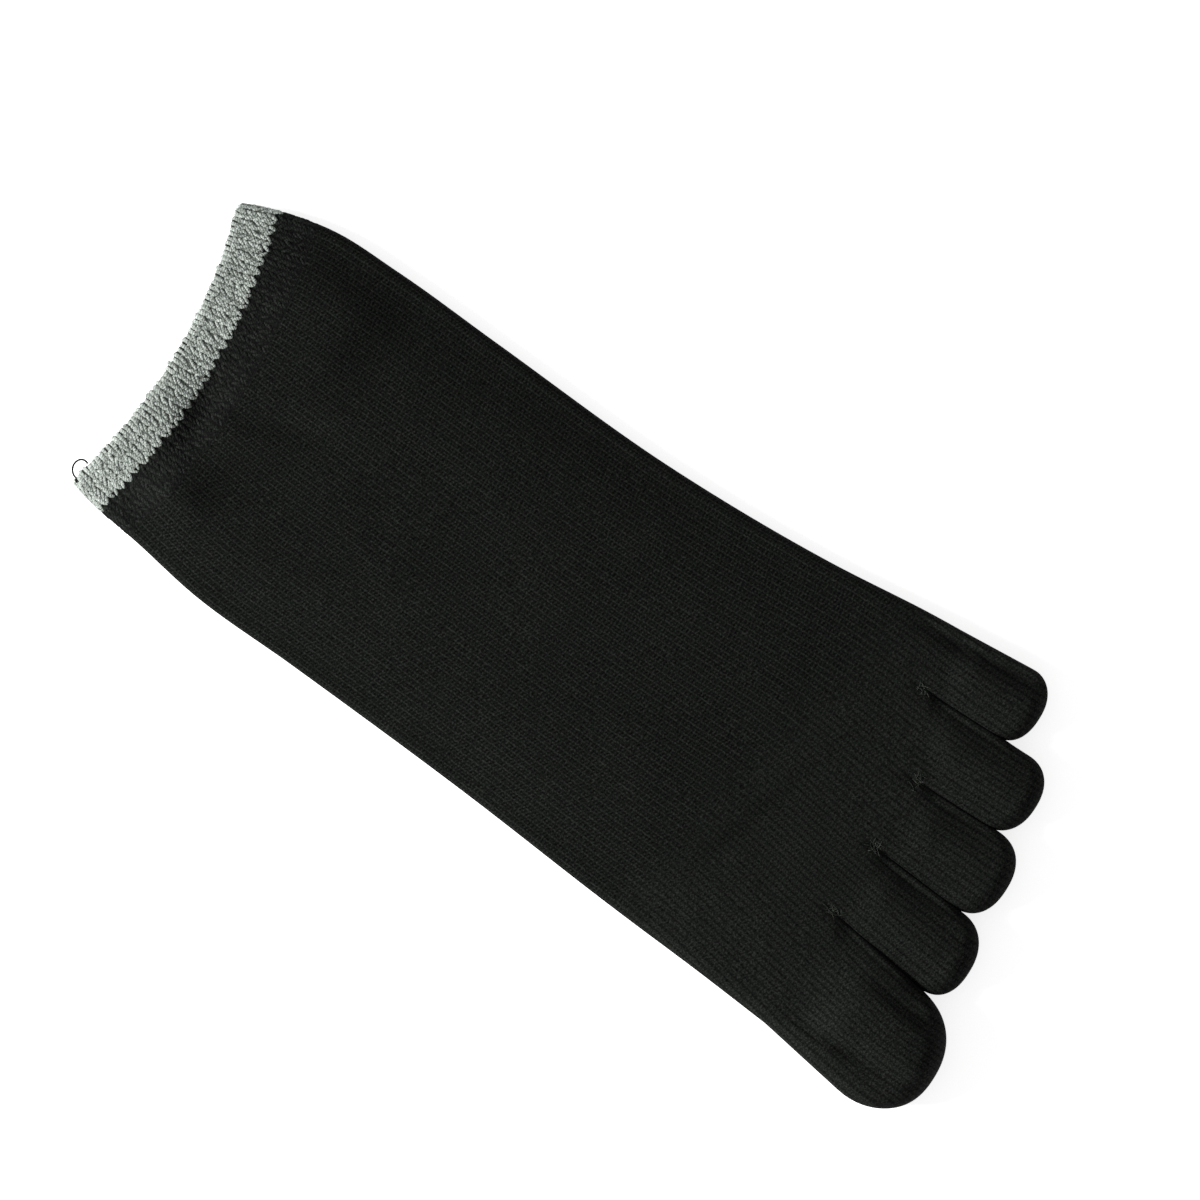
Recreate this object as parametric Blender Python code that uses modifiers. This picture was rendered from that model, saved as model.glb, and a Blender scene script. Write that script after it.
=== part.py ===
"""Toe sock for the left foot, lying flat on its sole side.

The toes point along -Y, the opening faces +Y, +Z is up and the big toe is on the -X side.
The origin lies under the middle of the sock, on the surface that it rests on.
Lengths are in metres.
"""

import bpy
import numpy as np

# Driving sizes, each of which can be set by itself
tube_length = 0.22055       # from the toe crotches to the far corner of the rim
toe_length = 0.04295        # the big toe, from its crotch line to its tip
rim_width = 0.0808          # across the opening, where the welt draws in
foot_width = 0.0955         # across the leg and the middle of the foot
ball_width = 0.1098         # across the roots of the toes
toe_span = 0.1165           # across the spread toes
cuff_length = 0.0105        # the grey welt
rib_length = 0.0088         # the black elastic rib under the welt
wall = 0.0014               # plain knit
band_wall = 0.0018          # the doubled welt and the elastic rib
leg_fold = 0.0027           # radius of the side folds along the leg
ball_fold = 0.0044          # radius of the side folds at the toe roots
crown_height = 0.0042       # how far the top sheet rises over its side folds
toe_height = 0.0108         # thickness of the filled big toe
toe_setback = 0.0109        # how far behind the others the little toe starts
parting_length = 0.0279     # from the crotches to where neighbouring toes part
rim_dip = 0.0056            # how far the middle of the rim lies behind its corners
rim_slant = 0.0023          # how far the two rim corners differ along the sock
rib_pitch = 0.0030          # from one chunky stitch column of the welt to the next
rib_relief = 0.00035        # depth of the grooves between those columns
gap = 0.0003                # clearance between neighbouring pieces

# Where the sock lies: its length and its toe span are centred on the origin
sock_length = tube_length + toe_length
crotch_y = toe_length - sock_length / 2
rim_y = crotch_y + tube_length

# Sections of the tube. along runs from the toe crotches, 0, to the rim corner, 1.
# width is the flat width, shift moves its middle towards the little toe,
# fold is the radius of the side folds and crown is the rise of the top sheet.
sections = (
    {"along": 0.000, "width": 1.000 * ball_width, "shift": 0.016 * ball_width,
     "fold": 1.00 * ball_fold, "crown": 0.16 * crown_height},
    {"along": 0.094, "width": 0.972 * ball_width, "shift": 0.019 * ball_width,
     "fold": 0.86 * ball_fold, "crown": 0.48 * crown_height},
    {"along": 0.219, "width": 1.068 * foot_width, "shift": 0.019 * foot_width,
     "fold": 1.20 * leg_fold, "crown": 0.85 * crown_height},
    {"along": 0.428, "width": 1.008 * foot_width, "shift": 0.034 * foot_width,
     "fold": 1.04 * leg_fold, "crown": 1.00 * crown_height},
    {"along": 0.671, "width": 1.000 * foot_width, "shift": 0.068 * foot_width,
     "fold": 1.00 * leg_fold, "crown": 0.95 * crown_height},
    {"along": 0.808, "width": 1.000 * foot_width, "shift": 0.086 * foot_width,
     "fold": 1.00 * leg_fold, "crown": 0.92 * crown_height},
    {"along": 0.899, "width": 0.961 * foot_width, "shift": 0.104 * foot_width,
     "fold": 1.00 * leg_fold, "crown": 0.95 * crown_height},
    {"along": 0.944, "width": 1.092 * rim_width, "shift": 0.119 * rim_width,
     "fold": 1.02 * leg_fold, "crown": 1.02 * crown_height},
    {"along": 1.000, "width": 1.000 * rim_width, "shift": 0.110 * rim_width,
     "fold": 1.04 * leg_fold, "crown": 1.06 * crown_height},
)

# The lines between neighbouring toes, from the big-toe side to the little-toe side.
# root is the crotch's share of the width between the side folds, back is how far it lies
# behind the main crotch line and tip is its share of the toe span where the toes part.
toe_lines = (
    {"name": "outer_big", "root": 0.000, "back": 0.0 * toe_setback, "tip": 0.000},
    {"name": "big_second", "root": 0.280, "back": 0.0 * toe_setback, "tip": 0.286},
    {"name": "second_middle", "root": 0.470, "back": 0.0 * toe_setback, "tip": 0.471},
    {"name": "middle_fourth", "root": 0.664, "back": 0.0 * toe_setback, "tip": 0.660},
    {"name": "fourth_little", "root": 0.866, "back": 1.0 * toe_setback, "tip": 0.834},
    {"name": "outer_little", "root": 1.000, "back": 1.0 * toe_setback, "tip": 1.002},
)

# The toes in the same order. reach is the length past the main crotch line, height is the
# filled thickness, cap is the length of the rounded tip as a share of the toe's width,
# lean shifts the tip across as a share of that width and crown is the rise of the top.
toes = (
    {"name": "big_toe", "reach": 1.000 * toe_length, "height": 1.00 * toe_height,
     "cap": 0.56, "lean": 0.050, "crown": 0.03 * toe_height},
    {"name": "second_toe", "reach": 0.843 * toe_length, "height": 0.88 * toe_height,
     "cap": 0.42, "lean": 0.000, "crown": 0.05 * toe_height},
    {"name": "middle_toe", "reach": 0.767 * toe_length, "height": 0.87 * toe_height,
     "cap": 0.42, "lean": 0.000, "crown": 0.05 * toe_height},
    {"name": "fourth_toe", "reach": 0.655 * toe_length, "height": 0.86 * toe_height,
     "cap": 0.42, "lean": 0.000, "crown": 0.05 * toe_height},
    {"name": "little_toe", "reach": 0.395 * toe_length, "height": 0.84 * toe_height,
     "cap": 0.40, "lean": -0.030, "crown": 0.05 * toe_height},
)

# Soft dents and swells of the top sheet. across and along place the middle of each as
# shares of foot_width from the middle and of tube_length from the crotches, length and
# width are its half sizes, turn is the angle of its length from the X axis in degrees
# and rise is how far it lifts the sheet, or lowers it where it is negative.
swells = (
    {"name": "welt_puff", "across": -0.26, "along": 0.922, "length": 0.105 * foot_width,
     "width": 0.085 * foot_width, "turn": 70.0, "rise": 0.30 * crown_height},
    {"name": "hollow_by_puff", "across": -0.29, "along": 0.886, "length": 0.055 * foot_width,
     "width": 0.045 * foot_width, "turn": 20.0, "rise": -0.24 * crown_height},
    {"name": "corner_hollow", "across": 0.44, "along": 0.846, "length": 0.21 * foot_width,
     "width": 0.10 * foot_width, "turn": 75.0, "rise": -0.16 * crown_height},
    {"name": "welt_fold", "across": 0.08, "along": 0.830, "length": 0.20 * foot_width,
     "width": 0.05 * foot_width, "turn": 106.0, "rise": -0.14 * crown_height},
    {"name": "ball_crease", "across": -0.13, "along": 0.136, "length": 0.30 * foot_width,
     "width": 0.035 * foot_width, "turn": -18.0, "rise": -0.14 * crown_height},
    {"name": "big_toe_swell", "across": -0.43, "along": -0.077, "length": 0.15 * foot_width,
     "width": 0.09 * foot_width, "turn": 80.0, "rise": 0.20 * crown_height},
    {"name": "big_toe_valley", "across": -0.475, "along": -0.118, "length": 0.15 * foot_width,
     "width": 0.035 * foot_width, "turn": 118.0, "rise": -0.28 * crown_height},
)

# How finely the surfaces are drawn
fold_steps = 3              # faces round each quarter of a side fold
toe_steps = 6               # columns over each toe's share of the top sheet
sole_steps = 2              # columns over each toe's share of the sole side
toe_sole_steps = 4          # columns across the underside of a toe
band_steps = 30             # columns across a band, before its ribs are drawn evenly
tube_rows = 18              # rows along the foot tube
cuff_rows = 3               # rows along the welt
rib_rows = 2                # rows along the elastic rib
toe_rows = 4                # rows along the straight part of a toe
cap_rows = 5                # rows over a toe's rounded tip
valley_length = 0.020       # how far the dips between the toes run back over the foot
valley_share = 0.50         # depth of those dips at the crotches, as a share of the fold
cap_power = 2.3             # squareness of the toe tips' outline, 2 being an ellipse
sheet_edge = 8.0            # how quickly dents fade in from the side folds, 4 being slowest


def smooth_step(share):
    """Runs from 0 to 1 with level ends."""
    share = np.clip(share, 0.0, 1.0)
    return share * share * (3.0 - 2.0 * share)


def read_sections(column, y):
    """Smooth curve through one column of the sections, read at the places y."""
    along = np.array([row["along"] for row in sections])
    values = np.array([row[column] for row in sections])
    slopes = np.gradient(values, along)
    at = np.clip((np.asarray(y) - crotch_y) / tube_length, along[0], along[-1])
    low = np.clip(np.searchsorted(along, at) - 1, 0, len(along) - 2)
    step = along[low + 1] - along[low]
    t = (at - along[low]) / step
    rise = values[low + 1] - values[low]
    start = slopes[low] * step
    end = slopes[low + 1] * step
    bend = 3.0 * rise - 2.0 * start - end
    twist = start + end - 2.0 * rise
    return values[low] + t * (start + t * (bend + t * twist))


def side_edges(y):
    """The two outer edges of the tube at the places y."""
    middle = read_sections("shift", y)
    half = read_sections("width", y) / 2
    return middle - half, middle + half


def line_start(index):
    """Place x, y where a line between two toes starts, on the tube's end."""
    line = toe_lines[index]
    start_y = crotch_y + line["back"]
    left, right = side_edges(start_y)
    fold = read_sections("fold", start_y)
    if index == 0:
        return left, start_y
    if index == len(toe_lines) - 1:
        return right, start_y
    return left + fold + line["root"] * (right - left - 2 * fold), start_y


def root_line(x):
    """Where the tube ends and the toes start, over the sideways places x.

    The line is straight over each toe, so it slants over the fourth toe only.
    """
    places = np.array([line_start(index) for index in range(len(toe_lines))])
    return np.interp(x, places[:, 0], places[:, 1])


def settle_on_root(loop_at, inward):
    """Places y of a loop's columns that end on the root line, outer and inner side alike.

    loop_at gives the loop for places y, and inward is how far the wall's inner side lies
    sideways from each column.
    """
    y = np.full(len(inward), crotch_y)
    for _ in range(4):
        x = loop_at(y)[:, 0]
        y = np.minimum(root_line(x), root_line(x + inward))
    return y


def rim_line(share):
    """The concave, slightly slanted line of the rim."""
    return rim_y - rim_slant * (1.0 - share) - rim_dip * (1.0 - (2.0 * share - 1.0) ** 2)


def swell_height(x, y):
    """Sum of the soft dents and swells at the points x, y."""
    height = np.zeros_like(x)
    for row in swells:
        angle = np.radians(row["turn"])
        dx = x - row["across"] * foot_width
        dy = y - crotch_y - row["along"] * tube_length
        lengthwise = (dx * np.cos(angle) + dy * np.sin(angle)) / row["length"]
        crosswise = (dy * np.cos(angle) - dx * np.sin(angle)) / row["width"]
        height += row["rise"] * np.exp(-lengthwise ** 2 - crosswise ** 2)
    return height


def toe_line_x(index, y):
    """Sideways place of one line between toes at the places y: straight past its start."""
    start_x, start_y = line_start(index)
    end_x = (toe_lines[index]["tip"] - 0.5) * toe_span
    return start_x + (end_x - start_x) * (start_y - np.asarray(y)) / parting_length


def cosine_steps(count):
    """Shares from 0 to 1 that lie closer together at both ends."""
    return 0.5 - 0.5 * np.cos(np.linspace(0.0, np.pi, count + 1))


def loop_columns(top_shares, sole_shares):
    """Columns of one closed loop: the share across, and the angle round a side fold.

    The loop runs over the top from the -X fold to the +X fold and back along the sole.
    Angles count from the outermost point of a fold, upwards on the top sheet.
    """
    turn = np.linspace(0.0, np.pi / 2, fold_steps + 1)[:-1]
    share = np.concatenate([0 * turn, top_shares, 1 + 0 * turn,
                            1 + 0 * turn[1:], sole_shares[::-1], 0 * turn[1:]])
    angle = np.concatenate([turn, np.full(len(top_shares), np.pi / 2), turn[::-1],
                            -turn[1:], np.full(len(sole_shares), -np.pi / 2), -turn[1:][::-1]])
    return share, angle


def loop_points(share, angle, y, left, right, fold, top):
    """Points of a loop whose side folds are arcs and whose top rises by top."""
    inner = np.where(share < 0.5, left + fold, right - fold)
    outward = np.where(share < 0.5, -1.0, 1.0)
    between = left + fold + share * (right - left - 2 * fold)
    on_sheet = np.isclose(np.abs(angle), np.pi / 2)
    x = np.where(on_sheet, between, inner + outward * fold * np.cos(angle))
    z = fold + fold * np.sin(angle)
    z = z + np.where(on_sheet & (angle > 0), top, 0.0)
    return np.stack([x, y, z], axis=-1)


def crown_shape(share):
    """Rise of the top sheet across the tube: level in the middle and at both folds."""
    return (1.0 - (2.0 * share - 1.0) ** 4) ** 1.5


def valley_drop(x, y, fold):
    """Depth of the dips between the toes, with the round sides that the toes have."""
    drop = np.zeros_like(x)
    for index in range(1, len(toe_lines) - 1):
        line_x, line_y = line_start(index)
        near = smooth_step(1.0 - (y - line_y) / valley_length)
        away = np.clip(np.abs(x - line_x) / fold, 0.0, 1.0)
        side = fold * (1.0 - np.sqrt(1.0 - (1.0 - away) ** 2))
        drop = np.maximum(drop, valley_share * near * side)
    return drop


def tube_loop(share, angle, y):
    """One loop of the tube through the given places y along each column."""
    left, right = side_edges(y)
    fold = read_sections("fold", y)
    x = left + fold + share * (right - left - 2 * fold)
    top = read_sections("crown", y) * crown_shape(share) - valley_drop(x, y, fold)
    top = top + swell_height(x, y) * smooth_step(sheet_edge * share * (1.0 - share))
    return loop_points(share, angle, y, left, right, fold, top)


def even_loop(points, count):
    """The same closed loop with count points at equal distances."""
    closed = np.vstack([points, points[:1]])
    lengths = np.linalg.norm(np.diff(closed, axis=0), axis=1)
    travelled = np.concatenate([[0.0], np.cumsum(lengths)])
    wanted = np.arange(count) * travelled[-1] / count
    return np.stack([np.interp(wanted, travelled, closed[:, k]) for k in range(3)], axis=-1)


def groove(points):
    """Draws every second point of a loop in, which leaves upright ribs between grooves."""
    ahead = np.roll(points, -1, axis=0)
    behind = np.roll(points, 1, axis=0)
    tangent = ahead - behind
    inward = np.stack([tangent[:, 2], 0 * tangent[:, 0], -tangent[:, 0]], axis=-1)
    inward /= np.linalg.norm(inward, axis=1)[:, None]
    points[1::2] += rib_relief * inward[1::2]
    return points


def grid_mesh(name, loops, tip=None):
    """Open tube through the loops, closed at its far end by the point tip if given."""
    around = len(loops[0])
    points = [tuple(point) for loop in loops for point in loop]
    faces = []
    for row in range(len(loops) - 1):
        for column in range(around):
            beside = (column + 1) % around
            faces.append((row * around + column, (row + 1) * around + column,
                          (row + 1) * around + beside, row * around + beside))
    if tip is not None:
        last = (len(loops) - 1) * around
        points.append(tuple(tip))
        for column in range(around):
            faces.append((last + column, len(points) - 1, last + (column + 1) % around))
    mesh = bpy.data.meshes.new(name)
    mesh.from_pydata(points, [], faces)
    mesh.shade_smooth()
    return mesh


def knit_material(name, colour, roughness):
    """Knitted cotton in one colour."""
    material = bpy.data.materials.new(name)
    material.use_nodes = True
    shader = material.node_tree.nodes["Principled BSDF"]
    shader.inputs["Base Color"].default_value = (*colour, 1.0)
    shader.inputs["Roughness"].default_value = roughness
    shader.inputs["Metallic"].default_value = 0.0
    return material


def add_shell(name, mesh, thickness, material, collection):
    """Turns an open knitted surface into a piece with a wall on its inner side."""
    piece = bpy.data.objects.new(name, mesh)
    piece.data.materials.append(material)
    collection.objects.link(piece)
    shell = piece.modifiers.new("wall", "SOLIDIFY")
    shell.thickness = thickness
    shell.offset = -1.0
    shell.use_even_offset = False
    return piece


def tube_shares(count):
    """Columns of the tube, count over each toe's width and closest together at the crotches."""
    roots = [line["root"] for line in toe_lines]
    steps = cosine_steps(count)[:-1]
    shares = [roots[k] + (roots[k + 1] - roots[k]) * steps for k in range(len(toes))]
    return np.concatenate(shares + [np.array([1.0])])


def build_band(name, start, length, rows, material, collection):
    """A ribbed band that keeps the line of the rim, start behind it."""
    share, angle = loop_columns(cosine_steps(band_steps), cosine_steps(band_steps))
    columns = 2 * int(round((rim_width + foot_width) / rib_pitch))
    loops = []
    for step in range(rows + 1):
        y = rim_line(share) - start - length * step / rows
        loops.append(groove(even_loop(tube_loop(share, angle, y), columns)))
    return add_shell(name, grid_mesh(name, loops), band_wall, material, collection)


def build_foot_tube(material, collection):
    """The plain tube from the elastic rib to the toe crotches, its rows closer at the toes."""
    share, angle = loop_columns(tube_shares(toe_steps), tube_shares(sole_steps))
    first = rim_line(share) - cuff_length - rib_length - 2 * gap
    last = settle_on_root(lambda y: tube_loop(share, angle, y), 0 * share)
    loops = []
    for step in range(tube_rows + 1):
        part = step / tube_rows
        part = 0.5 * part + 0.5 * np.sin(np.pi / 2 * part)
        loops.append(tube_loop(share, angle, first + (last - first) * part))
    return add_shell("foot_tube", grid_mesh("foot_tube", loops), wall, material, collection)


def toe_loop(index, share, angle, y, part, narrow, thin):
    """One loop of a toe. part runs from its root, 0, to its shoulder, 1.

    narrow and thin are what the rounded tip leaves of the width and of the thickness.
    """
    toe = toes[index]
    left = toe_line_x(index, y) + (gap / 2 if index > 0 else 0.0)
    right = toe_line_x(index + 1, y) - (gap / 2 if index < len(toes) - 1 else 0.0)
    middle = (left + right) / 2 + (1.0 - narrow) * toe["lean"] * (right - left)
    half = (right - left) / 2 * narrow
    filled = smooth_step(2.0 * part)
    root_fold = read_sections("fold", y)
    fold = (root_fold + (toe["height"] / 2 - root_fold) * filled) * thin
    root_crown = read_sections("crown", y)
    crown = root_crown + (toe["crown"] - root_crown) * filled
    x = middle - half + fold + share * 2 * (half - fold)
    top = crown * crown_shape(share)
    top = top + swell_height(x, y) * smooth_step(sheet_edge * share * (1.0 - share))
    points = loop_points(share, angle, y, middle - half, middle + half, fold, top * thin)
    points[:, 2] += toe["height"] / 2 * (1.0 - thin)
    return points


def build_toe(index, material, collection):
    """A toe pocket: a flattened tube with a rounded tip, open to the foot."""
    toe = toes[index]
    share, angle = loop_columns(cosine_steps(toe_steps), cosine_steps(toe_sole_steps))
    inward = np.where(share < 0.5, wall, -wall) * np.cos(angle)
    start = settle_on_root(lambda y: toe_loop(index, share, angle, y, 0.0, 1.0, 1.0), inward) - gap
    tip_y = crotch_y - toe["reach"]
    full = toe_line_x(index + 1, tip_y) - toe_line_x(index, tip_y)
    cap = toe["cap"] * full
    loops = []
    for step in range(toe_rows):
        part = step / toe_rows
        y = start + (tip_y + cap - start) * part
        loops.append(toe_loop(index, share, angle, y, part, 1.0, 1.0))
    for step in range(cap_rows):
        turn = np.pi / 2 * step / cap_rows
        narrow = np.cos(turn) ** (2 / cap_power)
        left_over = cap * (1.0 - np.sin(turn) ** (2 / cap_power))
        to_go = min(left_over / (toe["height"] / 2), 1.0)
        thin = np.sqrt(1.0 - (1.0 - to_go) ** 2)
        y = np.full(len(share), tip_y + left_over)
        loops.append(toe_loop(index, share, angle, y, 1.0, narrow, thin))
    middle = (toe_line_x(index, tip_y) + toe_line_x(index + 1, tip_y)) / 2
    tip = (middle + toe["lean"] * full, tip_y, toe["height"] / 2)
    return add_shell(toe["name"], grid_mesh(toe["name"], loops, tip), wall, material, collection)


def main():
    """Builds every piece in one collection."""
    for old in list(bpy.data.objects):
        bpy.data.objects.remove(old)
    collection = bpy.data.collections.new("toe_sock")
    bpy.context.scene.collection.children.link(collection)
    grey_knit = knit_material("grey_knit", (0.34, 0.35, 0.32), 0.95)
    black_rib = knit_material("black_rib", (0.013, 0.014, 0.013), 0.92)
    black_knit = knit_material("black_knit", (0.010, 0.011, 0.010), 0.92)
    build_band("cuff_band", 0.0, cuff_length, cuff_rows, grey_knit, collection)
    build_band("rib_band", cuff_length + gap, rib_length, rib_rows, black_rib, collection)
    build_foot_tube(black_knit, collection)
    for index in range(len(toes)):
        build_toe(index, black_knit, collection)


main()
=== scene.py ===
import bpy
import numpy as np
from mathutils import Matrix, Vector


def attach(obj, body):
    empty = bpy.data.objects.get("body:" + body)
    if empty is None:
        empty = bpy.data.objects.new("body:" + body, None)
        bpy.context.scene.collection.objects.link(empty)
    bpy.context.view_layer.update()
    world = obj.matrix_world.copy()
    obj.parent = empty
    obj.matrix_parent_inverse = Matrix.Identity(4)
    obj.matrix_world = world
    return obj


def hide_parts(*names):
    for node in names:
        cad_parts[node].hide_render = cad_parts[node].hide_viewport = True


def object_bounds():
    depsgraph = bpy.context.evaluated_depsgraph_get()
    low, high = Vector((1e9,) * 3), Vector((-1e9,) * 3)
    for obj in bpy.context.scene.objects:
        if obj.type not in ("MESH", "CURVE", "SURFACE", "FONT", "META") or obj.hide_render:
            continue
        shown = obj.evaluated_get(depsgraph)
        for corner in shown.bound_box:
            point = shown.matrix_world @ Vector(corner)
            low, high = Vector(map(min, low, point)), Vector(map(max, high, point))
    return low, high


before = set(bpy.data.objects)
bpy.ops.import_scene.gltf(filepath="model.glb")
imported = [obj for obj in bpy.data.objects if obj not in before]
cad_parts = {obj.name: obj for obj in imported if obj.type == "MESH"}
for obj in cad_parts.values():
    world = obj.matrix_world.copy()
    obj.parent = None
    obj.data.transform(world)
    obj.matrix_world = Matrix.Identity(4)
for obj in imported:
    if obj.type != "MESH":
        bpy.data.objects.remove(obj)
cadLow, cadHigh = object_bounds()
print("frame loaded:", len(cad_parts), "nodes")

# one millimetre of the real sock, measured on the frame, whose sock is 263.5 mm long
mm = (cadHigh.y - cadLow.y) / 263.5

# the flat tube, read from the toe crotches (along 0) to the rim corner (along 1), in mm
tube = dict(
    length=220.55,
    along=[0.000, 0.094, 0.219, 0.428, 0.671, 0.808, 0.899, 0.944, 1.000],
    width=[109.8, 106.7, 102.0, 96.3, 95.5, 95.5, 91.8, 88.2, 80.8],
    shift=[1.76, 2.09, 1.81, 3.25, 6.49, 8.21, 9.93, 9.62, 8.89],
    fold=[4.40, 3.78, 3.24, 2.81, 2.70, 2.70, 2.70, 2.75, 2.81],
    crown=[0.67, 2.02, 3.57, 4.20, 3.99, 3.86, 3.99, 4.28, 4.45],
    wall=1.4,
    cuffLength=10.8,
    ribLength=8.8,
    greyEnd=8.9,            # where the black backing starts behind the points of the grey stitches
    rimDip=5.6,
    rimSlant=2.3,
    wales=128,              # stitch columns round the tube
    pitch=1.79,             # one stitch column at the toe roots
    course=1.03,            # one row of stitches along the sock
    waleColumns=4,
    rows=110,
    innerRows=14,
    waleDepth=0.05,
    toeWaleDepth=0.0,
)

# the lines between toes, from the big-toe side: share at the root, setback, share at the tips
toeLines = dict(
    root=[0.000, 0.280, 0.470, 0.664, 0.866, 1.000],
    back=[0.0, 0.0, 0.0, 0.0, 10.9, 10.9],
    tip=[0.000, 0.286, 0.471, 0.660, 0.834, 1.002],
    parting=27.9,
    valleyLength=6.0,
    valleyShare=0.34,
)

# soft dents and swells of the top: middle x, y, half length, half width on the right and on the
# left of that length, turn of the length, rise
swells = dict(
    x=[-21.0, -27.5, 0.0, 36.0, 7.5, -14.0, -41.5, -48.5, -40.5],
    y=[106.5, 104.5, 112.0, 93.0, 96.0, -54.5, -117.0, -108.0, -124.0],
    length=[9.0, 5.0, 11.0, 18.0, 18.0, 30.0, 18.0, 21.0, 10.0],
    right=[8.0, 1.3, 5.0, 9.0, 3.6, 3.2, 16.0, 2.6, 16.0],
    left=[7.5, 1.3, 5.0, 22.0, 3.6, 45.0, 8.0, 2.6, 8.0],
    turn=[-25.0, -25.0, 10.0, -15.0, 108.0, -18.0, 96.0, 96.0, 96.0],
    rise=[3.00, -0.90, -1.80, 2.20, -1.60, 0.90, 2.20, -2.30, 1.50],
)

crotchY = cadHigh.y - tube["length"] * mm
toeSpan = cadHigh.x - cadLow.x


def smoothStep(share):
    # three times the square less twice the cube, held between 0 and 1
    share = np.clip(share, 0.0, 1.0)
    return share * share * (3.0 - 2.0 * share)


def readSections(column, y):
    # a cubic between neighbouring sections, with the slope that the table has at each
    along = np.array(tube["along"])
    values = np.array(tube[column]) * mm
    slopes = np.gradient(values, along)
    at = np.clip((np.asarray(y) - crotchY) / (tube["length"] * mm), 0.0, 1.0)
    low = np.clip(np.searchsorted(along, at) - 1, 0, len(along) - 2)
    step = along[low + 1] - along[low]
    t = (at - along[low]) / step
    rise = values[low + 1] - values[low]
    start = slopes[low] * step
    end = slopes[low + 1] * step
    return values[low] + t * (start + t * (3 * rise - 2 * start - end + t * (start + end - 2 * rise)))


def sideEdges(y):
    # the middle less and plus half the width
    middle = readSections("shift", y)
    half = readSections("width", y) / 2
    return middle - half, middle + half


def lineStart(k):
    # the crotch sits at its share of the width between the folds, as far back as its setback
    y = crotchY + toeLines["back"][k] * mm
    left, right = sideEdges(y)
    fold = readSections("fold", y)
    if k == 0:
        return left, y
    if k == len(toeLines["root"]) - 1:
        return right, y
    return left + fold + toeLines["root"][k] * (right - left - 2 * fold), y


def toeLineX(k, y):
    # straight from the crotch to the place where neighbouring toes part, and on past it
    startX, startY = lineStart(k)
    endX = (cadLow.x + cadHigh.x) / 2 + (toeLines["tip"][k] - 0.5) * toeSpan
    return startX + (endX - startX) * (startY - np.asarray(y)) / (toeLines["parting"] * mm)


def rootLine(x):
    # straight pieces from crotch to crotch
    places = np.array([lineStart(k) for k in range(len(toeLines["root"]))])
    return np.interp(x, places[:, 0], places[:, 1])


def rimLine(share):
    # the far corner less a slant and less a parabola that is deepest in the middle
    dip = tube["rimDip"] * mm * (1.0 - (2.0 * share - 1.0) ** 2)
    return cadHigh.y - tube["rimSlant"] * mm * (1.0 - share) - dip


def swellHeight(x, y):
    # each dent is a bell curve over its own turned ellipse, wider on one side than on the other,
    # and the dents are added up
    height = 0.0 * x
    for k in range(len(swells["x"])):
        angle = np.radians(swells["turn"][k])
        dx = x / mm - swells["x"][k]
        dy = y / mm - swells["y"][k]
        lengthwise = (dx * np.cos(angle) + dy * np.sin(angle)) / swells["length"][k]
        crosswise = dy * np.cos(angle) - dx * np.sin(angle)
        crosswise = crosswise / np.where(crosswise < 0, swells["right"][k], swells["left"][k])
        height = height + swells["rise"][k] * mm * np.exp(-lengthwise ** 2 - crosswise ** 2)
    return height


def slackHeight(x, y):
    # the cloth's own unevenness: three slow waves that cross at odd angles
    wave = np.sin(x / mm / 9.0 + y / mm / 31.0) * np.sin(y / mm / 17.0 - x / mm / 40.0)
    wave = wave + 0.6 * np.sin(x / mm / 21.0 - y / mm / 11.0 + 1.7)
    return 0.11 * mm * wave


def valleyDrop(x, y, fold):
    # between toes the top falls as a quarter circle of the fold's radius would, in part
    drop = 0.0 * x
    for k in range(1, len(toeLines["root"]) - 1):
        lineX, lineY = lineStart(k)
        near = smoothStep(1.0 - (y - lineY) / (toeLines["valleyLength"] * mm))
        away = np.clip(np.abs(x - lineX) / fold, 0.0, 1.0)
        side = fold * (1.0 - np.sqrt(1.0 - (1.0 - away) ** 2))
        drop = np.maximum(drop, toeLines["valleyShare"] * near * side)
    return drop


def crownShape(share):
    # level in the middle and level again where it meets the folds
    return (1.0 - np.clip(np.abs(2.0 * share - 1.0), 0.0, 1.0) ** 4) ** 1.5


def tubeTop(x, share, y, fold):
    # how far the top sheet lies above its folds: crown, dents and slack, less the valleys
    fade = smoothStep(8.0 * share * (1.0 - share))
    loose = (swellHeight(x, y) + slackHeight(x, y)) * fade
    return readSections("crown", y) * crownShape(share) + loose - valleyDrop(x, y, fold)


def loopColumns(count, flat, fold):
    # equal steps round a flattened ring: a quarter fold, the top, a half fold, the sole, a quarter
    quarter = np.pi / 2 * fold
    s = np.arange(count) / count * (4 * quarter + 2 * flat)
    marks = np.cumsum([0, quarter, flat, 2 * quarter, flat, quarter])
    share = np.interp(s, marks, [0, 0, 1, 1, 0, 0])
    angle = np.interp(s, marks, np.pi / 2 * np.array([0, 1, 1, -1, -1, 0]))
    return share, angle


def sectionPoints(share, angle, y, left, right, fold, top, inset):
    # flat sheets between two half circles; inset is taken off the circles and off both sheets
    onSheet = np.abs(angle) > np.pi / 2 - 1e-9
    side = np.where(share < 0.5, -1.0, 1.0)
    foldX = np.where(share < 0.5, left + fold, right - fold)
    sheetX = left + fold + share * (right - left - 2 * fold)
    x = np.where(onSheet, sheetX, foldX + side * (fold - inset) * np.cos(angle))
    z = fold + (fold - inset) * np.sin(angle) + np.where(onSheet & (angle > 0), top, 0.0)
    return np.stack(np.broadcast_arrays(x, y, z), axis=-1)


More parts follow.
